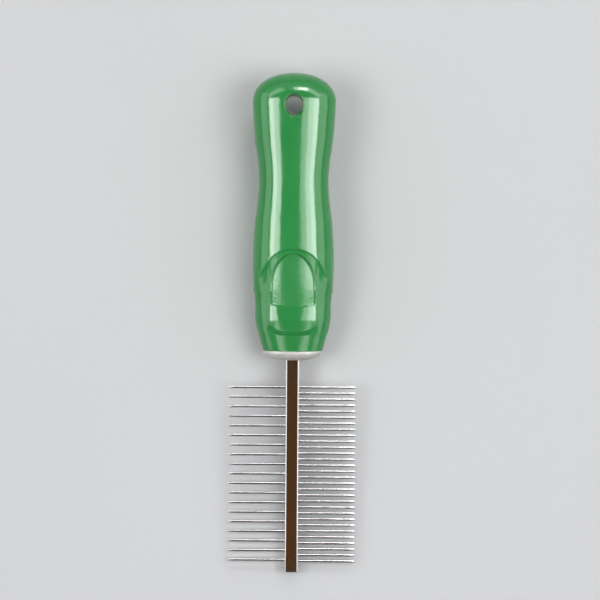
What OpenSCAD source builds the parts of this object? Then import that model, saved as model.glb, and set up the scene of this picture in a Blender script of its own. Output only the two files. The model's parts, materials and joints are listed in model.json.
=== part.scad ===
// Double-sided pin comb for dematting a coat: a square steel bar with a coarse
// row of pins on one side and a fine row on the other, its tang moulded into a
// rigid core, and a soft sleeve with thumb rests moulded over the core.
// The comb lies on its back: +Y points to the hanging end, the coarse pins
// point to -X, the fine pins to +X, and +Z is up, out of the comb's front.

/* [Grip sleeve] */
// Length of the soft sleeve, from the hanging end to the collar
grip_len = 114.6; // [110:0.2:120]
// Width of the sleeve at its widest, near the hanging end
grip_w = 34.3; // [33:0.1:38]
// Thickness of the sleeve at its belly
grip_t = 25; // [24:0.1:29]
// How square the sleeve's section is: 2 is an ellipse
section_n = 2.35; // [2.1:0.05:2.8]

/* [Thumb rests] */
// Depth of the arched step above each thumb rest
step_depth = 0.8; // [0.4:0.05:1]
// Depth of the same step where it meets the sleeve's sides
step_side = 0.35; // [0.2:0.05:0.5]
// Depth of the thumb pad at its deep end, by the stop lip
pad_depth = 1.1; // [0.5:0.05:1.4]
// Half the width of the thumb pad
pad_half_w = 9.2; // [8:0.1:10]
// Depth of the neck below the stop lip
neck_depth = 0.6; // [0.3:0.05:0.8]

/* [Hang hole] */
// Distance of the hang hole from the hanging end
hole_at = 13; // [12.5:0.1:15]
// Diameter of the hang hole's round waist, inside the core
hole_d = 6.8; // [5.5:0.1:7.2]
// Length of the waist, through the core
hole_waist = 8; // [6:0.5:9]
// Length of the oval mouths, along the handle
mouth_len = 9.8; // [9:0.1:11]
// Width of the oval mouths, across the handle
mouth_w = 7.2; // [7.2:0.1:8]

/* [Handle core] */
// Width of the core's bar inside the sleeve
core_w = 21; // [18:0.5:22]
// Thickness of the core's bar inside the sleeve
core_t = 12; // [11:0.5:13]
// Height of the collar's straight rim below the sleeve
rim_h = 1; // [0.6:0.1:1.5]
// Height of the collar's domed nose
nose_h = 3.3; // [2.5:0.1:4]

/* [Spine bar] */
// Thickness of the square bar
bar = 5.6; // [5.4:0.1:6.2]
// Chamfer along the bar's long edges
bar_edge = 0.65; // [0.4:0.05:0.8]
// Length of the bar that shows below the collar
bar_out = 88.2; // [87:0.1:92]
// Length of the tang inside the core
tang_len = 46; // [40:1:60]

/* [Pins] */
// Diameter of the pins
pin_d = 1.2; // [1:0.05:1.3]
// Length of each pin outside the bar
pin_out = 23.6; // [18:0.1:26]
// Depth that each pin is pressed into the bar
pin_in = 2.1; // [1.6:0.1:2.2]
// Distance between pins in the coarse row
coarse_pitch = 4; // [3.8:0.05:4.05]
// Distance between pins in the fine row
fine_pitch = 2.5; // [2.4:0.05:2.5]
// Distance from the collar to the first pin of each row
first_pin = 11.2; // [10.5:0.1:11.5]

/* [Hidden] */
coarse_n = 19;
fine_n = 30;
function two(i) = i < 10 ? str("0", i) : str(i);
function coarse_name(i) = str("coarse_pin_", two(i));
function fine_name(i) = str("fine_pin_", two(i));

nose_y = -(rim_h + nose_h);
tip_y = nose_y - bar_out;
hole_y = grip_len - hole_at;

// Sleeve profile: [distance from the hanging end as a fraction of the length,
// half width as a fraction of the widest, half thickness as a fraction of the
// thickest]. The rounded end runs from 0 to the first row.
PROFILE = [
  [0.105, 1.000, 0.94],
  [0.175, 0.980, 0.95],
  [0.245, 0.940, 0.91],
  [0.315, 0.870, 0.865],
  [0.385, 0.837, 0.845],
  [0.455, 0.866, 0.88],
  [0.540, 0.935, 0.96],
  [0.620, 0.970, 1.00],
  [0.700, 0.980, 0.985],
  [0.770, 0.960, 0.94],
  [0.820, 0.948, 0.89],
  [0.870, 0.945, 0.84],
  [0.925, 0.905, 0.79],
  [0.960, 0.845, 0.75],
  [1.000, 0.768, 0.70]];
end_n = 2.15;
end_len = PROFILE[0][0] * grip_len;

// A smooth curve through column c of the profile.
function slope_at(i, c) =
  i == 0 ? 0 :
  i == len(PROFILE) - 1 ?
    (PROFILE[i][c] - PROFILE[i - 1][c]) / (PROFILE[i][0] - PROFILE[i - 1][0]) :
    (PROFILE[i + 1][c] - PROFILE[i - 1][c]) / (PROFILE[i + 1][0] - PROFILE[i - 1][0]);
function row_of(f, i = 0) =
  (i >= len(PROFILE) - 2 || f < PROFILE[i + 1][0]) ? i : row_of(f, i + 1);
function profile(f, c) =
  let (i = row_of(f), d = PROFILE[i + 1][0] - PROFILE[i][0], k = (f - PROFILE[i][0]) / d)
    PROFILE[i][c] * (2 * k * k * k - 3 * k * k + 1)
    + PROFILE[i + 1][c] * (3 * k * k - 2 * k * k * k)
    + slope_at(i, c) * d * (k * k * k - 2 * k * k + k)
    + slope_at(i + 1, c) * d * (k * k * k - k * k);
function ease(k) = let (c = max(0, min(1, k))) c * c * (3 - 2 * c);
// How far the rounded end has opened, at a distance s from the hanging end.
function opened(s) =
  s >= end_len ? 1 : pow(1 - pow((end_len - s) / end_len, end_n), 1 / end_n);
function half_w(s) = grip_w / 2 * opened(s) * profile(max(s, end_len) / grip_len, 1);
function half_t(s) = grip_t / 2 * opened(s) * profile(max(s, end_len) / grip_len, 2);

// The thumb rest, as a depth below the profile. x is the distance from the
// handle's middle plane, u the same as a fraction of the half width.
arch_top = 0.627 * grip_len;
arch_drop = 0.161 * grip_len;
pad_top = 0.645 * grip_len;
pad_wide = 0.765 * grip_len;
pad_end = 0.832 * grip_len;
lip_end = 0.935 * grip_len;
function arch(s, u) =
  ease((s - arch_top - arch_drop * pow(u, 2.6)) / 1.4)
  * (step_depth + (step_side - step_depth) * u);
function pad_reach(s) =
  s < pad_top ? 0 :
  s < pad_wide ? pad_half_w * sqrt(1 - pow((pad_wide - s) / (pad_wide - pad_top), 2)) :
  pad_half_w;
function pad(s, x) =
  ease(min((pad_reach(s) - x) / 1.3, (pad_end + 1 - x * x / 90 - s) / 1.5))
  * (0.4 + (pad_depth - 0.4) * ease((s - pad_top) / (pad_end - pad_top)));
function neck(s, u) = ease((s - lip_end + 2.2 * pow(u, 3)) / 1.3) * neck_depth;
function relief(s, x, u) = arch(s, u) * (1 - 0.6 * ease((s - pad_end) / 3)) + pad(s, x) + neck(s, u);

function sgn(v) = v < 0 ? -1 : 1;
function on_section(w, t, a) =
  [w * sgn(cos(a)) * pow(abs(cos(a)), 2 / section_n),
   t * sgn(sin(a)) * pow(abs(sin(a)), 2 / section_n)];
// A point of the sleeve's surface, at s from the hanging end and angle a.
function sleeve_point(s, a) =
  let (w = half_w(s), t = half_t(s), p = on_section(w, t, a),
       u = abs(p[0]) / w, v = abs(p[1]) / t,
       n = [sgn(p[0]) * pow(u, section_n - 1) / w, sgn(p[1]) * pow(v, section_n - 1) / t],
       d = relief(s, abs(p[0]), u) / norm(n))
    [p[0] - n[0] * d, grip_len - s, p[1] - n[1] * d];

around = 56;
end_rings = 9;
plain_rings = 18;
rest_rings = 42;
rest_from = 0.61 * grip_len;
RINGS = concat(
  [for (i = [1:end_rings - 1]) end_len * (1 - pow(cos(90 * i / end_rings), 2 / end_n))],
  [for (i = [0:plain_rings - 1]) end_len + (rest_from - end_len) * i / plain_rings],
  [for (i = [0:rest_rings]) rest_from + (grip_len - rest_from) * i / rest_rings]);
SLEEVE_POINTS = concat(
  [[0, grip_len, 0]],
  [for (s = RINGS) for (j = [0:around - 1]) sleeve_point(s, 360 * j / around)]);
// Faces of a stack of m rings of n points each: point 0 is the far tip.
function stack_faces(m, n) = concat(
  [for (j = [0:n - 1]) [0, 1 + j, 1 + (j + 1) % n]],
  [for (i = [0:m - 2]) for (j = [0:n - 1])
    let (a = 1 + i * n + j, b = 1 + i * n + (j + 1) % n) each [[a, b + n, b], [a, a + n, b + n]]],
  [[for (j = [n - 1:-1:0]) 1 + (m - 1) * n + j]]);

// The comb rests on its belly and on the lower edge of the bar's tip: the tilt
// is that of the line from the tip's edge that just touches the sleeve's back.
REST = [tip_y + bar_edge, -bar / 2];
tilt = max([for (p = SLEEVE_POINTS) atan((REST[1] - p[2]) / (p[1] - REST[0]))]);
lift = -(REST[0] * sin(tilt) + REST[1] * cos(tilt));
far_y = max([for (p = SLEEVE_POINTS) p[1] * cos(tilt) - p[2] * sin(tilt)]);
near_y = tip_y * cos(tilt) - (bar / 2 - bar_edge) * sin(tilt);

module placed() {
  translate([0, -(far_y + near_y) / 2, lift]) rotate([tilt, 0, 0]) children();
}

// The bar's section, with its four long edges chamfered.
module bar_section(size, edge) {
  h = size / 2;
  polygon([[h, h - edge], [h - edge, h], [-h + edge, h], [-h, h - edge],
           [-h, -h + edge], [-h + edge, -h], [h - edge, -h], [h, -h + edge]]);
}

module along_y(from, to) {
  translate([0, to, 0]) rotate([90, 0, 0]) linear_extrude(height = to - from) children();
}

// The bar without its pin holes, which is also the cavity that the core has.
module bar_body() {
  difference() {
    along_y(tip_y, tang_len) bar_section(bar, bar_edge);
    // chamfers round the free end
    for (q = [0:3]) rotate([0, 90 * q, 0])
      translate([0, tip_y, bar / 2]) rotate([45, 0, 0])
        cube([2 * bar, bar_edge * sqrt(2), bar_edge * sqrt(2)], center = true);
    // notches that lock the tang into the core
    for (y = [0.4 * tang_len, 0.75 * tang_len], side = [-1, 1])
      translate([side * bar / 2, y, 0]) cylinder(d = 2.4, h = 2 * bar, center = true, $fn = 48);
  }
}

function coarse_y(i) = nose_y - first_pin - (i - 1) * coarse_pitch;
function fine_y(i) = nose_y - first_pin - (i - 1) * fine_pitch;

module spine_bar() {
  color("silver") placed() difference() {
    bar_body();
    for (i = [1:coarse_n]) translate([-bar / 2 + pin_in, coarse_y(i), 0])
      rotate([0, -90, 0]) cylinder(d = pin_d, h = pin_in + 1, $fn = 32);
    for (i = [1:fine_n]) translate([bar / 2 - pin_in, fine_y(i), 0])
      rotate([0, 90, 0]) cylinder(d = pin_d, h = pin_in + 1, $fn = 32);
  }
}

// One pin with a round tip, standing on the bottom of its hole along +Z.
module pin() {
  length = pin_in + pin_out;
  cylinder(d = pin_d, h = length - pin_d / 2, $fn = 32);
  translate([0, 0, length - pin_d / 2]) sphere(d = pin_d, $fn = 32);
}

module coarse_pin(i) {
  color("gainsboro") placed() translate([-bar / 2 + pin_in, coarse_y(i), 0])
    rotate([0, -90, 0]) pin();
}

module fine_pin(i) {
  color("gainsboro") placed() translate([bar / 2 - pin_in, fine_y(i), 0])
    rotate([0, 90, 0]) pin();
}

module slot_section(w, t) {
  square([w - t, t], center = true);
  for (side = [-1, 1]) translate([side * (w - t) / 2, 0]) circle(d = t, $fn = 64);
}

// The hidden part of the core: a flat bar with round sides, a round head about
// the hang hole, and grooves that the sleeve is moulded into.
head_d = 2 * (hole_at - 2.6);
module core_bar() {
  difference() {
    union() {
      along_y(-0.5, hole_y) slot_section(core_w, core_t);
      translate([0, hole_y, 0]) cylinder(d = min(head_d, core_w), h = core_t, center = true, $fn = 96);
    }
    for (k = [0.22, 0.42, 0.62]) difference() {
      along_y(k * grip_len - 1.5, k * grip_len + 1.5) square([2 * core_w, 2 * core_t], center = true);
      along_y(k * grip_len - 2, k * grip_len + 2) slot_section(core_w - 2, core_t - 2);
    }
  }
}

collar_around = 56;
collar_rings = 9;
function collar_ring(k, y) =
  let (w = half_w(grip_len) - neck_depth, t = half_t(grip_len) - neck_depth)
    [for (j = [0:collar_around - 1])
      let (p = on_section(w, t, 360 * j / collar_around)) [k * p[0], y, k * p[1]]];
COLLAR_POINTS = concat(
  [[0, nose_y, 0]],
  [for (i = [collar_rings - 1:-1:0]) let (a = 90 * i / collar_rings)
    each collar_ring(cos(a), -rim_h - nose_h * sin(a))],
  collar_ring(1, 0));

// The collar that closes the sleeve's end: a straight rim and a domed nose.
module collar() {
  mirror([0, 1, 0])
    polyhedron([for (p = COLLAR_POINTS) [p[0], -p[1], p[2]]],
               stack_faces(collar_rings + 1, collar_around), convexity = 4);
}

// The hang hole: a round waist, opening to an oval mouth on each face.
mouth_z = grip_t / 2 + 0.5;
module hang_hole() {
  translate([0, hole_y, 0]) {
    cylinder(d = hole_d, h = 3 * mouth_z, center = true, $fn = 96);
    for (face = [0, 1]) mirror([0, 0, face]) hull() {
      translate([0, 0, hole_waist / 2]) cylinder(d = hole_d + 0.04, h = 0.01, $fn = 48);
      for (side = [-1, 1]) translate([0, side * (mouth_len - mouth_w) / 2, mouth_z])
        cylinder(d = mouth_w, h = 0.01, $fn = 48);
    }
  }
}

module handle_core() {
  color("linen") placed() difference() {
    union() {
      core_bar();
      collar();
    }
    bar_body();
    hang_hole();
  }
}

module grip_sleeve() {
  color("forestgreen") placed() difference() {
    polyhedron(SLEEVE_POINTS, stack_faces(len(RINGS), around), convexity = 8);
    core_bar();
    hang_hole();
  }
}

spine_bar();
handle_core();
grip_sleeve();
for (i = [1:coarse_n])
  coarse_pin(i);
for (i = [1:fine_n])
  fine_pin(i);
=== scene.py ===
import json
import math

import bmesh
import bpy
import numpy as np
from mathutils import Matrix, Vector


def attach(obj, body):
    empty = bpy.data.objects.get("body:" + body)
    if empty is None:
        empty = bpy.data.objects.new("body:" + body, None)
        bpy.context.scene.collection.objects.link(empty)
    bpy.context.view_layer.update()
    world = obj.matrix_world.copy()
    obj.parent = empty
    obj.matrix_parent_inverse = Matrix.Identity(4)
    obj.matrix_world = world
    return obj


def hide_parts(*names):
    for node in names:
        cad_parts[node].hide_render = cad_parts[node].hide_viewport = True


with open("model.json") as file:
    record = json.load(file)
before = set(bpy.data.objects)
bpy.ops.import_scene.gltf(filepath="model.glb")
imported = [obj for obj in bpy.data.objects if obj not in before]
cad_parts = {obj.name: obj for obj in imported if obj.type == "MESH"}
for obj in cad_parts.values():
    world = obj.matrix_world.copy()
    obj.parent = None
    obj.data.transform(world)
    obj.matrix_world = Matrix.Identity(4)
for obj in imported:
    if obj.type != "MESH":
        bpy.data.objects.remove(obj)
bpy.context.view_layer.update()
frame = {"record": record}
scene = bpy.context.scene

# ---------------------------------------------------------------- the comb's own frame
# Lengths are in millimetres in the comb's own frame, where +Y runs to the hanging end,
# y = 0 is the sleeve's lower end, and the comb's middle plane is z = 0.
GRIP_LEN, GRIP_W, GRIP_T, SECTION_N = 114.6, 34.3, 25.0, 2.35
PAD_HALF_W, NECK_DEPTH = 9.7, 0.6
HOLE_AT, HOLE_D, HOLE_WAIST, MOUTH_LEN, MOUTH_W = 13.0, 6.8, 8.0, 9.8, 7.2
CORE_W, CORE_T, RIM_H, NOSE_H = 21.0, 12.0, 1.0, 3.3
BAR, BAR_EDGE, BAR_OUT, TANG_LEN = 5.6, 0.65, 88.2, 46.0
PIN_D, PIN_OUT, PIN_IN, COARSE_PITCH, FINE_PITCH, FIRST_PIN = 1.2, 23.6, 2.1, 4.0, 2.5, 11.2
COARSE_N, FINE_N = 19, 30
NOSE_Y = -(RIM_H + NOSE_H)
TIP_Y = NOSE_Y - BAR_OUT
HOLE_Y = GRIP_LEN - HOLE_AT

hole = next(m for m in frame["record"]["mounts"] if m["name"] == "hang_hole")
TILT = math.atan2(-hole["axis"][1], hole["axis"][2])
PLACE = (
    Matrix.Translation((
        0.0,
        hole["pos_m"][1] - HOLE_Y / 1000 * math.cos(TILT),
        hole["pos_m"][2] - HOLE_Y / 1000 * math.sin(TILT),
    ))
    @ Matrix.Rotation(TILT, 4, "X")
    @ Matrix.Scale(0.001, 4)
)

# ---------------------------------------------------------------- mesh helpers


def new_object(name, verts, faces):
    mesh = bpy.data.meshes.new(name)
    mesh.from_pydata([tuple(map(float, v)) for v in verts], [], faces)
    mesh.update()
    obj = bpy.data.objects.new(name, mesh)
    scene.collection.objects.link(obj)
    return outward(obj)


def outward(obj):
    bm = bmesh.new()
    bm.from_mesh(obj.data)
    bmesh.ops.recalc_face_normals(bm, faces=bm.faces)
    if bm.calc_volume(signed=True) < 0:
        bmesh.ops.reverse_faces(bm, faces=bm.faces)
    bm.to_mesh(obj.data)
    bm.free()
    return obj


def stack(rings, first=None, last=None):
    """A closed skin over rings of equal length, with a point or a flat cap at each end."""
    n = len(rings[0])
    verts, faces = [], []
    for r in rings:
        verts.extend(r)
    for i in range(len(rings) - 1):
        for j in range(n):
            k = (j + 1) % n
            faces.append((i * n + j, i * n + k, (i + 1) * n + k, (i + 1) * n + j))
    for point, ring in ((first, 0), (last, len(rings) - 1)):
        loop = [ring * n + j for j in range(n)]
        if point is None:
            faces.append(tuple(loop))
        else:
            verts.append(point)
            for j in range(n):
                faces.append((loop[j], loop[(j + 1) % n], len(verts) - 1))
    return verts, faces


def cut(obj, tool, how="DIFFERENCE", keep=False):
    """obj with tool taken away from it, or joined to it."""
    m = obj.modifiers.new("b", "BOOLEAN")
    m.operation, m.solver, m.object = how, "EXACT", tool
    bpy.context.view_layer.update()
    dg = bpy.context.evaluated_depsgraph_get()
    made = bpy.data.meshes.new_from_object(obj.evaluated_get(dg))
    old = obj.data
    obj.modifiers.clear()
    obj.data = made
    bpy.data.meshes.remove(old)
    if not keep:
        drop(tool)
    return obj


def drop(obj):
    data = obj.data
    bpy.data.objects.remove(obj)
    bpy.data.meshes.remove(data)


def place(obj):
    """Out of the comb's frame, in millimetres, into the row frame, in metres."""
    obj.data.transform(PLACE)
    obj.data.update()
    return obj


def tidy(obj, angle=32):
    """Welds doubled points, turns the faces outwards, and shades smooth but for real edges."""
    bm = bmesh.new()
    bm.from_mesh(obj.data)
    bmesh.ops.remove_doubles(bm, verts=bm.verts, dist=2e-3)
    bmesh.ops.dissolve_degenerate(bm, edges=bm.edges, dist=1e-3)
    bmesh.ops.recalc_face_normals(bm, faces=bm.faces)
    bm.to_mesh(obj.data)
    bm.free()
    obj.data.name = obj.name
    obj.data.shade_smooth()
    obj.data.set_sharp_from_angle(angle=math.radians(angle))
    return obj


def flat_faces(obj):
    """Keeps wide flat faces flat in the shading, next to their rounded edges."""
    m = obj.modifiers.new("flat_faces", "WEIGHTED_NORMAL")
    m.mode, m.weight, m.keep_sharp = "FACE_AREA", 100, True
    return obj


# ---------------------------------------------------------------- the sleeve's shape
PROFILE = np.array([
    [0.105, 1.000, 0.94], [0.175, 0.980, 0.95], [0.245, 0.940, 0.91], [0.315, 0.870, 0.865], [0.385, 0.837, 0.845],
    [0.455, 0.866, 0.88], [0.540, 0.935, 0.96], [0.620, 0.970, 1.00], [0.700, 0.980, 0.985], [0.770, 0.960, 0.94],
    [0.820, 0.948, 0.89], [0.870, 0.945, 0.84], [0.925, 0.905, 0.79], [0.960, 0.845, 0.75], [1.000, 0.768, 0.70],
])
END_N = 2.15
END_LEN = PROFILE[0, 0] * GRIP_LEN
ARCH_TOP, ARCH_DROP = 0.627 * GRIP_LEN, 0.161 * GRIP_LEN
PAD_TOP, PAD_WIDE, PAD_END, LIP_END = (k * GRIP_LEN for k in (0.645, 0.765, 0.832, 0.935))


def ease(k):
    c = np.clip(k, 0, 1)
    return c * c * (3 - 2 * c)


def profile(f, c):
    x, y = PROFILE[:, 0], PROFILE[:, c]
    m = np.zeros(len(x))
    m[1:-1] = (y[2:] - y[:-2]) / (x[2:] - x[:-2])
    m[-1] = (y[-1] - y[-2]) / (x[-1] - x[-2])
    i = np.clip(np.searchsorted(x, f, side="right") - 1, 0, len(x) - 2)
    d = x[i + 1] - x[i]
    k = (f - x[i]) / d
    return (
        y[i] * (2 * k**3 - 3 * k**2 + 1) + y[i + 1] * (3 * k**2 - 2 * k**3)
        + m[i] * d * (k**3 - 2 * k**2 + k) + m[i + 1] * d * (k**3 - k**2)
    )


def opened(s):
    k = np.clip((END_LEN - s) / END_LEN, 0, 1)
    return (1 - k**END_N) ** (1 / END_N)


def half_w(s):
    return GRIP_W / 2 * opened(s) * profile(np.maximum(s, END_LEN) / GRIP_LEN, 1)


def half_t(s):
    return GRIP_T / 2 * opened(s) * profile(np.maximum(s, END_LEN) / GRIP_LEN, 2)


def pad_edge(s, x):
    """How far inside the thumb pad's outline a point is, in millimetres; negative outside."""
    k = np.clip((PAD_WIDE - s) / (PAD_WIDE - PAD_TOP), 0, 1)
    reach = np.where(s < PAD_TOP, 0.0, PAD_HALF_W * np.sqrt(1 - k**2))
    return np.minimum(reach - x, PAD_END + 1 - x * x / 90 - s)


def relief(s, x, u):
    """Depth of the thumb rest, its stop lip and the neck below the plain profile."""
    q = s - ARCH_TOP - ARCH_DROP * u**2.6
    shoulder = (1 - 0.56 * u) * (0.5 * ease(q / 0.8) + 0.8 * ease(q / 7))
    inside = ease(pad_edge(s, x) / 0.7)
    depth = shoulder * (1 - inside) + (1.62 - 0.27 * ease((s - PAD_TOP) / (PAD_END - PAD_TOP))) * inside
    past = ease((s - PAD_END) / 6.5) * (1 - inside)
    depth = depth * (1 - 0.78 * past)
    # the stop lip is a block with a rounded lower end, a little prouder than the surface beside it
    # a shallow furrow along the pad's sides
    furrow = 0.26 * ease((x - 9.4) / 1.9) * (1 - ease((x - 11.3) / 4.2)) * ease(q / 2.5)
    depth = depth + furrow * (1 - ease((s - PAD_END) / 2.5))
    edge = LIP_END - 3.4 * np.clip(x / 10.4, 0, 1) ** 4
    block = np.minimum(10.4 - x, edge - 0.4 - s)
    depth = depth + 0.32 * past * (1 - ease((block + 0.4) / 1.3))
    # the neck starts with a step below the lip, and fades in beside it
    beside = ease((x - 9.0) / 2.2)
    step, fade = ease((s - edge) / 0.9), ease((s - LIP_END + 6) / 8.6)
    neck = (step * (1 - beside) + fade * beside) * NECK_DEPTH
    return depth + neck * (1 - 0.5 * past * (1 - ease(block + 0.4)) * 0.6)


def section(w, t, a):
    """Points of the squarish oval section at the angles a, and their outward normals."""
    c, s = np.cos(a), np.sin(a)
    r = (np.abs(c) ** SECTION_N + np.abs(s) ** SECTION_N) ** (-1 / SECTION_N)
    nx = np.sign(c) * np.abs(r * c) ** (SECTION_N - 1) / w
    nz = np.sign(s) * np.abs(r * s) ** (SECTION_N - 1) / t
    length = np.hypot(nx, nz)
    return w * r * c, t * r * s, nx / length, nz / length


LIP = 0.38


def hole_edge(x, s):
    """Distance outside the hang hole's oval outline at the surface, in millimetres."""
    return np.hypot(x, np.maximum(np.abs(s - HOLE_AT) - 1.15, 0)) - 3.58


def skin(s, a):
    """The sleeve's surface at the distances s from the hanging end and the angles a."""
    w, t = np.maximum(half_w(s), 1e-4), np.maximum(half_t(s), 1e-4)
    x, z, nx, nz = section(w, t, a)
    d = relief(s, np.abs(x), np.abs(x) / w)
    e = 0.2  # a small round edge where the sleeve ends at the collar
    k = np.clip((s - GRIP_LEN + e) / e, 0, 1)
    d = d + e * (1 - np.sqrt(np.maximum(0, 1 - k * k)))
    x, z = x - nx * d, z - nz * d
    k = np.clip(1 - hole_edge(x, s) / LIP, 0, 1)
    roll = LIP * (1 - np.sqrt(1 - k * k))
    z = z - np.sign(z) * np.where(np.abs(z) > 6, roll, 0)
    return np.stack([x, GRIP_LEN - s, z], -1)


# ---------------------------------------------------------------- hidden shapes shared by the pieces


def prism(outline, y0, y1):
    """A closed prism along y over an outline of (x, z) points."""
    return stack([[(x, y, z) for x, z in outline] for y in (y0, y1)])


def obround(w, t, n=24):
    pts = []
    for side in (1, -1):
        for i in range(n + 1):
            a = math.pi * (i / n - 0.5)
            pts.append((side * ((w - t) / 2 + t / 2 * math.cos(a)), side * t / 2 * math.sin(a)))
    return pts


def core_bar():
    """The core's flat bar inside the sleeve: round sides, a round head about the hole, lock grooves."""
    wide, thin = obround(CORE_W, CORE_T), obround(CORE_W - 2, CORE_T - 2)
    steps = [(-0.5, wide)]
    for k in (0.22, 0.42, 0.62):
        y = k * GRIP_LEN
        steps += [(y - 1.5, wide), (y - 1.5, thin), (y + 1.5, thin), (y + 1.5, wide)]
    steps += [(HOLE_Y, wide)]
    bar = new_object("core_bar", *stack([[(x, y, z) for x, z in o] for y, o in steps]))
    r = min(HOLE_AT - 2.6, CORE_W / 2)
    disc = [[(r * math.cos(a), HOLE_Y + r * math.sin(a), z) for a in np.arange(96) * math.tau / 96] for z in (-CORE_T / 2, CORE_T / 2)]
    return cut(bar, new_object("head", *stack(disc)), "UNION")


def oval(w, l, z, n=24):
    """An obround of n + 1 points a side about the hang hole, long way along y."""
    pts = []
    for side in (1, -1):
        for i in range(n + 1):
            a = math.pi * i / n
            pts.append((side * w / 2 * math.cos(a), HOLE_Y + side * ((l - w) / 2 + w / 2 * math.sin(a)), z))
    return pts


def hang_hole():
    """The hole's own space: a round waist that opens to an oval mouth on each face."""
    top = GRIP_T / 2 + 0.5
    rings = [
        oval(MOUTH_W, MOUTH_LEN, -top), oval(HOLE_D + 0.04, HOLE_D + 0.05, -HOLE_WAIST / 2),
        oval(HOLE_D + 0.04, HOLE_D + 0.05, HOLE_WAIST / 2), oval(MOUTH_W, MOUTH_LEN, top),
    ]
    return new_object("hang_hole", *stack(rings))


def rounded_square(size, r, n=7):
    h, pts = size / 2 - r, []
    for q, (cx, cz) in enumerate(((h, h), (-h, h), (-h, -h), (h, -h))):
        for i in range(n):
            a = math.pi / 2 * (q + i / (n - 1))
            pts.append((cx + r * math.cos(a), cz + r * math.sin(a)))
    return pts


def bar_body(name):
    """The square bar with rounded edges, a rounded free end, and two notches in each side of its tang."""
    rings = []
    for i in range(8):  # the free end
        a = math.pi / 2 * i / 7
        inset = BAR_EDGE * (1 - math.sin(a))
        y = TIP_Y + BAR_EDGE * (1 - math.cos(a))
        rings.append([(x, y, z) for x, z in rounded_square(BAR - 2 * inset, max(BAR_EDGE - 0.55 * inset, 0.2))])
    for y in np.linspace(TIP_Y + BAR_EDGE, TANG_LEN - 0.3, 26)[1:]:
        rings.append([(x, float(y), z) for x, z in rounded_square(BAR, BAR_EDGE)])
    rings.append([(x, TANG_LEN, z) for x, z in rounded_square(BAR - 0.6, 0.4)])
    obj = new_object(name, *stack(rings))
    verts, faces = [], []
    for y in (0.4 * TANG_LEN, 0.75 * TANG_LEN):
        for side in (-1, 1):
            c = [[(side * BAR / 2 + 1.2 * math.cos(a), y + 1.2 * math.sin(a), z) for a in np.arange(32) * math.tau / 32] for z in (-4, 4)]
            v, f = stack(c)
            faces += [tuple(i + len(verts) for i in g) for g in f]
            verts += v
    return cut(obj, new_object("notches", verts, faces))


def coarse_y(i):
    return NOSE_Y - FIRST_PIN - (i - 1) * COARSE_PITCH


def fine_y(i):
    return NOSE_Y - FIRST_PIN - (i - 1) * FINE_PITCH


# ---------------------------------------------------------------- the pieces


def make_sleeve(core, opening):
    around = 256
    end = END_LEN * (1 - np.cos(np.linspace(0, math.pi / 2, 44)[1:]) ** (2 / END_N))
    s_all = np.concatenate([
        end[end < 7.8],
        np.arange(7.8, 18.4, 0.26),
        np.arange(18.4, 70.5, 0.62),
        np.arange(70.5, 98.0, 0.24),
        np.arange(98.0, 105.0, 0.4),
        np.arange(105.0, 109.0, 0.22),
        np.arange(109.0, 114.2, 0.4),
        GRIP_LEN - 0.2 * (1 - np.sin(np.linspace(0, math.pi / 2, 5))),
    ])
    a_all = 2 * np.pi * np.arange(around) / around
    bm = bmesh.new()
    for name in ("s", "a", "grain", "rest"):
        bm.verts.layers.float.new(name)
    ls, la, grain, rest = (bm.verts.layers.float[name] for name in ("s", "a", "grain", "rest"))
    tip = bm.verts.new((0, GRIP_LEN, 0))
    grid = []
    for s in s_all:
        row = []
        for a in a_all:
            v = bm.verts.new((0, 0, 0))
            v[ls], v[la] = float(s), float(a)
            row.append(v)
        grid.append(row)
    near = []
    for i in range(len(grid) - 1):
        for j in range(around):
            k = (j + 1) % around
            f = bm.faces.new((grid[i][j], grid[i + 1][j], grid[i + 1][k], grid[i][k]))
            if k and abs(s_all[i] - HOLE_AT) < 6.6 and abs(math.cos(a_all[j])) < 0.34:
                near.append(f)
    for j in range(around):
        bm.faces.new((tip, grid[0][j], grid[0][(j + 1) % around]))
    bm.faces.new(list(reversed(grid[-1])))
    # finer cells where the surface rolls into the hang hole
    edges = list({e for f in near for e in f.edges})
    bmesh.ops.subdivide_edges(bm, edges=edges, cuts=2, use_grid_fill=True)
    s = np.array([v[ls] for v in bm.verts])
    a = np.array([v[la] for v in bm.verts])
    for v, p in zip(bm.verts, skin(s, a)):
        v.co = p
    bm.verts.ensure_lookup_table()
    bm.verts[0].co = (0, GRIP_LEN, 0)
    for v in bm.verts:
        x, sv = abs(v.co.x), GRIP_LEN - v.co.y
        if abs(v.co.z) > 3:
            v[grain] = float(ease((pad_edge(sv, x) - 0.15) / 0.7))
            v[rest] = float(ease((sv - ARCH_TOP - ARCH_DROP * (x / half_w(sv)) ** 2.6) / 0.85)) if sv > 60 else 0.0
    bm.verts.layers.float.remove(bm.verts.layers.float["s"])
    bm.verts.layers.float.remove(bm.verts.layers.float["a"])
    bmesh.ops.recalc_face_normals(bm, faces=bm.faces)
    mesh = bpy.data.meshes.new("grip")
    bm.to_mesh(mesh)
    bm.free()
    obj = bpy.data.objects.new("grip", mesh)
    scene.collection.objects.link(obj)
    cut(obj, core, keep=True)
    cut(obj, opening, keep=True)
    return tidy(obj, 40)


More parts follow.
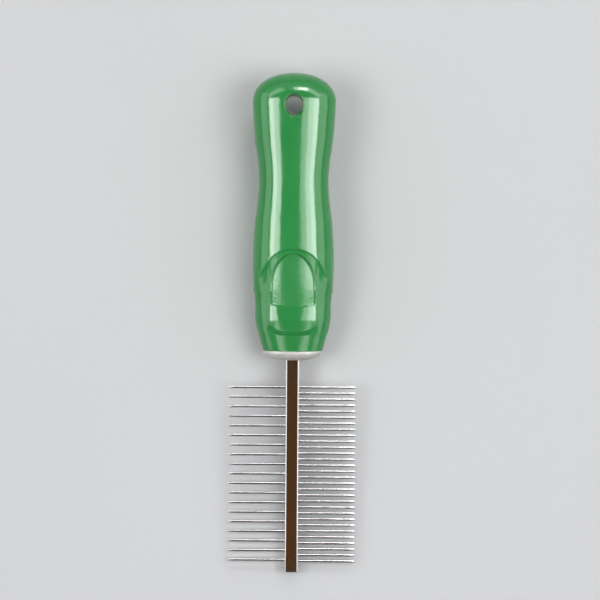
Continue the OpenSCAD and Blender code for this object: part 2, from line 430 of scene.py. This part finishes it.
def make_core(core, opening):
    around = 160
    a = 2 * np.pi * np.arange(around) / around
    w, t = float(half_w(np.array(GRIP_LEN))) - NECK_DEPTH, float(half_t(np.array(GRIP_LEN))) - NECK_DEPTH
    x, z, _, _ = section(w, t, a)
    rings = [[(px, 0.0, pz) for px, pz in zip(x, z)]]
    for y in (-0.25, -0.5, -0.75):
        rings.append([(px, y, pz) for px, pz in zip(x, z)])
    e = 0.28
    for i in range(6):  # the rim's rounded lower edge
        q = math.pi / 2 * i / 5
        k = 1 - e * (1 - math.cos(q)) / t
        rings.append([(px * k, -RIM_H + 0.0 - e * (math.sin(q) - 1) - e, pz * k) for px, pz in zip(x, z)])
    k0 = 1 - e / t
    for i in range(1, 26):
        q = math.pi / 2 * i / 26
        rings.append([(px * k0 * math.cos(q), -RIM_H - NOSE_H * math.sin(q), pz * k0 * math.cos(q)) for px, pz in zip(x, z)])
    collar = new_object("core", *stack(rings, last=(0, NOSE_Y, 0)))
    cut(collar, core, "UNION", keep=True)
    cut(collar, bar_body("tang"))
    cut(collar, opening, keep=True)
    return tidy(collar, 40)


def make_spine():
    bar = bar_body("spine")
    verts, faces = [], []
    spots = [(-1, coarse_y(i)) for i in range(1, COARSE_N + 1)] + [(1, fine_y(i)) for i in range(1, FINE_N + 1)]
    n, r = 32, PIN_D / 2
    for side, y in spots:
        rings = []
        for d, radius in ((PIN_IN, r), (0.16, r), (0.0, r + 0.13), (-0.6, r + 0.13)):
            x = side * (BAR / 2 - d)
            rings.append([(x, y + radius * math.cos(q), radius * math.sin(q)) for q in np.arange(n) * math.tau / n])
        v, f = stack(rings)
        faces += [tuple(i + len(verts) for i in g) for g in f]
        verts += v
    cut(bar, new_object("holes", verts, faces))
    return flat_faces(tidy(bar, 25))


def make_pin(name, side, y):
    """A drawn-wire pin with a ground, rounded tip."""
    n, r = 28, PIN_D / 2
    x0, x1 = BAR / 2 - PIN_IN, BAR / 2 + PIN_OUT
    steps = [(x0, r - 0.12), (x0 + 0.12, r)]
    steps += [(x, r) for x in np.linspace(x0 + 0.12, x1 - r, 12)[1:]]
    steps += [(x1 - r + r * math.sin(q), r * math.cos(q)) for q in np.linspace(0, math.pi / 2, 9)[1:-1]]
    rings = [[(side * x, y + k * math.cos(q), k * math.sin(q)) for q in np.arange(n) * math.tau / n] for x, k in steps]
    return tidy(new_object(name, *stack(rings, last=(side * x1, y, 0))), 40)


# ---------------------------------------------------------------- materials


class Nodes:
    def __init__(self, name):
        self.mat = bpy.data.materials.new(name)
        self.mat.use_nodes = True
        self.tree = self.mat.node_tree
        self.bsdf = next(n for n in self.tree.nodes if n.type == "BSDF_PRINCIPLED")
        self.coord = self.tree.nodes.new("ShaderNodeTexCoord").outputs["Object"]

    def add(self, kind, **inputs):
        n = self.tree.nodes.new("ShaderNode" + kind)
        for key, value in inputs.items():
            if hasattr(n, key) and key not in n.inputs:
                setattr(n, key, value)
        return n

    def link(self, a, b):
        self.tree.links.new(a, b)

    def scaled(self, scale):
        n = self.tree.nodes.new("ShaderNodeMapping")
        n.inputs["Scale"].default_value = scale
        self.link(self.coord, n.inputs["Vector"])
        return n.outputs["Vector"]

    def noise(self, scale, detail=2.0, rough=0.5, stretch=(1, 1, 1)):
        n = self.tree.nodes.new("ShaderNodeTexNoise")
        n.inputs["Scale"].default_value = scale
        n.inputs["Detail"].default_value = detail
        n.inputs["Roughness"].default_value = rough
        self.link(self.scaled(stretch), n.inputs["Vector"])
        return n.outputs["Fac"]

    def cells(self, scale):
        n = self.tree.nodes.new("ShaderNodeTexVoronoi")
        n.feature = "SMOOTH_F1"
        n.inputs["Scale"].default_value = scale
        self.link(self.coord, n.inputs["Vector"])
        return n.outputs["Distance"]

    def spread(self, value, lo, hi, to_lo, to_hi):
        n = self.tree.nodes.new("ShaderNodeMapRange")
        n.clamp = True
        for key, v in (("From Min", lo), ("From Max", hi), ("To Min", to_lo), ("To Max", to_hi)):
            n.inputs[key].default_value = v
        self.link(value, n.inputs["Value"])
        return n.outputs["Result"]

    def math(self, op, a, b):
        n = self.tree.nodes.new("ShaderNodeMath")
        n.operation = op
        for i, v in enumerate((a, b)):
            if isinstance(v, (int, float)):
                n.inputs[i].default_value = v
            else:
                self.link(v, n.inputs[i])
        return n.outputs[0]

    def mix(self, fac, a, b):
        n = self.tree.nodes.new("ShaderNodeMix")
        n.data_type = "RGBA"
        sockets = [s for s in n.inputs if s.enabled]
        for s, v in zip(sockets, (fac, a, b)):
            if isinstance(v, (int, float)):
                s.default_value = v
            elif isinstance(v, tuple):
                s.default_value = (*v, 1)
            else:
                self.link(v, s)
        return next(o for o in n.outputs if o.enabled)

    def mixed(self, fac, a, b):
        """A number between a and b."""
        n = self.tree.nodes.new("ShaderNodeMix")
        n.data_type = "FLOAT"
        sockets = [s for s in n.inputs if s.enabled]
        for s, v in zip(sockets, (fac, a, b)):
            if isinstance(v, (int, float)):
                s.default_value = v
            else:
                self.link(v, s)
        return next(o for o in n.outputs if o.enabled)

    def attribute(self, name):
        n = self.tree.nodes.new("ShaderNodeAttribute")
        n.attribute_name = name
        return n.outputs["Fac"]

    def bump(self, height, distance, strength=1.0, normal=None):
        n = self.tree.nodes.new("ShaderNodeBump")
        n.inputs["Strength"].default_value = strength
        n.inputs["Distance"].default_value = distance
        self.link(height, n.inputs["Height"])
        if normal is not None:
            self.link(normal, n.inputs["Normal"])
        return n.outputs["Normal"]

    def set(self, name, value):
        socket = self.bsdf.inputs[name]
        if isinstance(value, (int, float)):
            socket.default_value = value
        elif isinstance(value, tuple):
            socket.default_value = (*value, 1) if len(socket.default_value) == 4 else value
        else:
            self.link(value, socket)


def green_rubber():
    m = Nodes("green_rubber")
    grain = m.attribute("grain")
    cloud = m.noise(55, 3, 0.55)
    fine = m.noise(900, 2, 0.6)
    base = m.mix(m.spread(cloud, 0.3, 0.7, 0, 1), (0.0235, 0.232, 0.0525), (0.029, 0.260, 0.0615))
    base = m.mix(m.spread(fine, 0.4, 0.75, 0, 0.18), base, (0.038, 0.292, 0.077))
    pad = m.mix(m.spread(m.noise(1900, 2, 0.6), 0.35, 0.7, 0, 1), (0.026, 0.232, 0.056), (0.043, 0.294, 0.084))
    m.set("Base Color", m.mix(grain, base, pad))
    smudge = m.spread(m.noise(130, 4, 0.6, (1, 0.35, 1)), 0.35, 0.72, 0.11, 0.17)
    m.set("Roughness", m.mixed(grain, smudge, m.spread(cloud, 0.3, 0.7, 0.16, 0.20)))
    m.set("IOR", 1.5)
    m.set("Subsurface Weight", 0.05)
    m.set("Subsurface Radius", (0.2, 1.0, 0.3))
    m.set("Subsurface Scale", 0.0015)
    m.set("Sheen Weight", 0.08)
    m.set("Sheen Roughness", 0.35)
    m.set("Sheen Tint", (0.72, 1.0, 0.78))
    peel = m.bump(m.noise(420, 2, 0.5), 0.0004, 0.09)
    peel = m.bump(fine, 0.00006, 0.26, peel)
    pebble = m.math("MULTIPLY", m.math("SUBTRACT", 1.0, m.cells(1700)), grain)
    m.set("Normal", m.bump(pebble, 0.00008, 0.42, peel))
    return m.mat


def core_plastic():
    m = Nodes("off_white_plastic")
    cloud = m.noise(90, 3, 0.5)
    fine = m.noise(1400, 2, 0.6)
    base = m.mix(m.spread(cloud, 0.3, 0.7, 0, 1), (0.52, 0.505, 0.475), (0.59, 0.58, 0.555))
    m.set("Base Color", m.mix(m.spread(fine, 0.55, 0.8, 0, 0.35), base, (0.46, 0.44, 0.405)))
    m.set("Roughness", m.spread(fine, 0.3, 0.7, 0.30, 0.42))
    m.set("Subsurface Weight", 0.1)
    m.set("Subsurface Radius", (1.0, 0.9, 0.75))
    m.set("Subsurface Scale", 0.0015)
    m.set("Normal", m.bump(fine, 0.00008, 0.3, m.bump(m.noise(320, 2, 0.5), 0.0003, 0.12)))
    return m.mat


def plated_bar():
    m = Nodes("plated_steel_bar")
    streak = m.noise(2600, 3, 0.6, (1, 0.02, 1))
    blotch = m.noise(160, 3, 0.6, (1, 0.4, 1))
    m.set("Base Color", m.mix(m.spread(blotch, 0.3, 0.75, 0, 1), (0.64, 0.635, 0.63), (0.55, 0.54, 0.53)))
    m.set("Metallic", 1.0)
    rough = m.math("ADD", m.spread(streak, 0.3, 0.75, 0.05, 0.09), m.spread(blotch, 0.45, 0.8, 0.0, 0.05))
    m.set("Roughness", rough)
    m.set("Normal", m.bump(streak, 0.00003, 0.35, m.bump(m.noise(420, 2, 0.5, (1, 0.3, 1)), 0.0002, 0.05)))
    return m.mat


def wire_steel():
    m = Nodes("polished_wire")
    streak = m.noise(3200, 3, 0.6, (0.03, 1, 1))
    blotch = m.noise(260, 3, 0.6)
    m.set("Base Color", m.mix(m.spread(blotch, 0.3, 0.75, 0, 1), (0.68, 0.68, 0.68), (0.56, 0.55, 0.54)))
    m.set("Metallic", 1.0)
    rough = m.math("ADD", m.spread(streak, 0.3, 0.75, 0.08, 0.17), m.spread(blotch, 0.4, 0.8, 0.0, 0.06))
    m.set("Roughness", rough)
    m.set("Normal", m.bump(streak, 0.00002, 0.3))
    return m.mat


def floor_paper():
    m = Nodes("pale_floor")
    cloud = m.noise(3, 2, 0.5)
    grain = m.noise(1100, 3, 0.6)
    base = m.mix(m.spread(cloud, 0.3, 0.7, 0, 1), (0.585, 0.59, 0.60), (0.61, 0.615, 0.625))
    m.set("Base Color", m.mix(m.spread(grain, 0.4, 0.7, 0, 0.25), base, (0.55, 0.555, 0.565)))
    m.set("Roughness", m.spread(grain, 0.3, 0.7, 0.7, 0.85))
    m.set("Specular IOR Level", 0.25)
    m.set("Normal", m.bump(grain, 0.0001, 0.15))
    return m.mat


# ---------------------------------------------------------------- camera, lights, floor
CAM_H = 1.60
AIM = (0.0029, 0.0098)
cam = bpy.data.cameras.new("camera")
cam.sensor_width = 36.0
cam.lens = 36.0 * (CAM_H - 0.014) / 0.2477
cam.clip_start, cam.clip_end = 0.05, 20
camera = bpy.data.objects.new("camera", cam)
camera.location = (AIM[0], AIM[1], CAM_H)
camera.rotation_euler = (0, 0, math.radians(0.4))
scene.collection.objects.link(camera)
scene.camera = camera


gloss_soft, gloss_metal = (bpy.data.collections.new(name) for name in ("gloss_soft", "gloss_metal"))


def panel(name, angle, heading, half, length, shift, radiance, matt=0.35, distance=1.2, metal=None, soft=1.0):
    """A soft panel whose middle is at angle from straight up, towards heading (0 is +X, 90 is +Y), spanning half degrees
    each side of that, and as long as length across it. matt is the share of it that lights the matt surfaces too, and
    metal and soft, where metal is given, are the shares of it that the metal pieces and the others mirror."""
    h = math.radians(heading)
    level = Vector((math.cos(h), math.sin(h), 0.0))
    z = (level * math.sin(math.radians(angle)) + Vector((0, 0, 1)) * math.cos(math.radians(angle))).normalized()
    y = Vector((0, 0, 1)).cross(level).normalized()
    x = y.cross(z).normalized()
    width = 2 * distance * math.tan(math.radians(half))
    parts = [("", matt, True, True, 0.0, None), ("_gloss", 1 - matt, False, True, 0.02, None)]
    if metal is not None:
        parts = [
            ("", matt, True, False, 0.0, None), ("_gloss", soft, False, True, 0.02, gloss_soft),
            ("_metal", metal, False, True, 0.04, gloss_metal),
        ]
    for part, share, matt_too, gloss_too, back, receivers in parts:
        if not share:
            continue
        light = bpy.data.lights.new(name + part, "AREA")
        light.shape = "RECTANGLE"
        light.size, light.size_y = width, length
        light.energy = radiance * share * math.pi * width * length
        obj = bpy.data.objects.new(name + part, light)
        obj.matrix_world = Matrix.Translation(z * (distance + back) + y * shift) @ Matrix((x, y, z)).transposed().to_4x4()
        obj.visible_camera = False
        obj.visible_diffuse, obj.visible_glossy = matt_too, gloss_too
        if receivers is not None:
            obj.light_linking.receiver_collection = receivers
        scene.collection.objects.link(obj)


panel("left_inner", 27.0, 180, 6.0, 0.64, 0.02, 9.5, matt=0.42, metal=0.16)
panel("left_outer", 39.8, 180, 6.8, 0.64, 0.02, 14.0, matt=0.42, metal=0.16)
panel("right_inner", 14.0, 0, 5.5, 0.64, -0.02, 5.0, matt=0.42, metal=0.16)
panel("right_middle", 25.5, 0, 6.0, 0.64, -0.02, 10.5, matt=0.42, metal=0.16)
panel("right_outer", 38.5, 0, 7.0, 0.64, -0.02, 14.0, matt=0.42, metal=0.16)
panel("left_wall", 68.0, 180, 14.0, 1.5, 0.0, 1.6, matt=0.1)
panel("right_wall", 64.0, 0, 15.0, 1.5, 0.0, 1.8, matt=0.1)
panel("end_wall_left", 47.0, 130, 7.5, 0.8, 0.0, 3.6, matt=0.1)
panel("end_wall_right", 47.0, 50, 7.5, 0.8, 0.0, 4.4, matt=0.1)
panel("end_soft", 49.0, 79, 5.5, 0.30, 0.0, 22.0, matt=0.4)
panel("end_metal", 49.0, 96, 5.5, 0.22, 0.0, 8.0, matt=0.0, metal=1.0, soft=0.0)
panel("front_wall_left", 32.0, 238, 5.5, 0.52, 0.0, 4.0, matt=0.1)
panel("front_wall_right", 32.0, 302, 5.5, 0.52, 0.0, 4.0, matt=0.1)

scene.view_settings.view_transform = "Standard"
world = bpy.data.worlds.new("studio")
world.use_nodes = True
wt = world.node_tree
bg = wt.nodes["Background"]
sep = wt.nodes.new("ShaderNodeSeparateXYZ")
wt.links.new(wt.nodes.new("ShaderNodeTexCoord").outputs["Generated"], sep.inputs[0])


def world_range(value, lo, hi, to_lo, to_hi):
    n = wt.nodes.new("ShaderNodeMapRange")
    n.interpolation_type = "SMOOTHSTEP"
    for key, v in (("From Min", lo), ("From Max", hi), ("To Min", to_lo), ("To Max", to_hi)):
        n.inputs[key].default_value = v
    wt.links.new(value, n.inputs["Value"])
    return n.outputs["Result"]


# walls: pale all round, dim overhead, dimmer towards the pins' end, and as dim as the far floor at the horizon
up = world_range(sep.outputs["Z"], 0.55, 0.74, 1.0, 0.06)
near_end = world_range(sep.outputs["Y"], -0.75, -0.10, 0.22, 1.0)
horizon = world_range(sep.outputs["Z"], 0.02, 0.36, 0.24, 1.0)
shade = up
for factor in (near_end, horizon):
    product = wt.nodes.new("ShaderNodeMath")
    product.operation = "MULTIPLY"
    wt.links.new(shade, product.inputs[0])
    wt.links.new(factor, product.inputs[1])
    shade = product.outputs[0]
wt.links.new(shade, bg.inputs["Color"])
bg.inputs["Strength"].default_value = 0.80
scene.world = world

floor_mesh = bpy.data.meshes.new("floor")
R = 9.0
ring = [(R * math.cos(a), R * math.sin(a), 0.0) for a in np.arange(64) * math.tau / 64]
floor_mesh.from_pydata(ring, [], [tuple(range(64))])
floor = bpy.data.objects.new("floor", floor_mesh)
scene.collection.objects.link(floor)
floor.data.materials.append(floor_paper())

# a dark panel above the camera, which the bar's flat face mirrors
card_mesh = bpy.data.meshes.new("card")
card_mesh.from_pydata([(-0.16, -0.85, 1.8), (0.16, -0.85, 1.8), (0.16, -0.295, 1.8), (-0.16, -0.295, 1.8)], [], [(0, 3, 2, 1)])
card = bpy.data.objects.new("card", card_mesh)
scene.collection.objects.link(card)
card_nodes = Nodes("dark_card")
card_nodes.set("Base Color", card_nodes.mix(card_nodes.noise(6), (0.350, 0.145, 0.042), (0.420, 0.180, 0.055)))
card_nodes.set("Roughness", 1.0)
card.data.materials.append(card_nodes.mat)
card.visible_camera = False
card.visible_diffuse = False
card.visible_shadow = False

# ---------------------------------------------------------------- assembly
rubber, plastic, plate, wire = green_rubber(), core_plastic(), plated_bar(), wire_steel()


def finish_piece(obj, node, slot, material):
    place(obj)
    obj.data.materials.clear()
    obj.data.materials.append(material)
    for p in obj.data.polygons:
        p.material_index = 0
    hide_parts(node)
    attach(obj, "root")
    (gloss_metal if slot.endswith("steel") else gloss_soft).objects.link(obj)


gloss_soft.objects.link(floor)
core, opening = core_bar(), hang_hole()
sleeve = make_sleeve(core, opening)
handle = make_core(core, opening)
drop(core)
drop(opening)
finish_piece(sleeve, "grip_sleeve", "grip_rubber", rubber)
finish_piece(handle, "handle_core", "core_plastic", plastic)
finish_piece(make_spine(), "spine_bar", "bar_steel", plate)
for i in range(1, COARSE_N + 1):
    finish_piece(make_pin(f"wire_coarse_{i:02d}", -1, coarse_y(i)), f"coarse_pin_{i:02d}", "pin_steel", wire)
for i in range(1, FINE_N + 1):
    finish_piece(make_pin(f"wire_fine_{i:02d}", 1, fine_y(i)), f"fine_pin_{i:02d}", "pin_steel", wire)
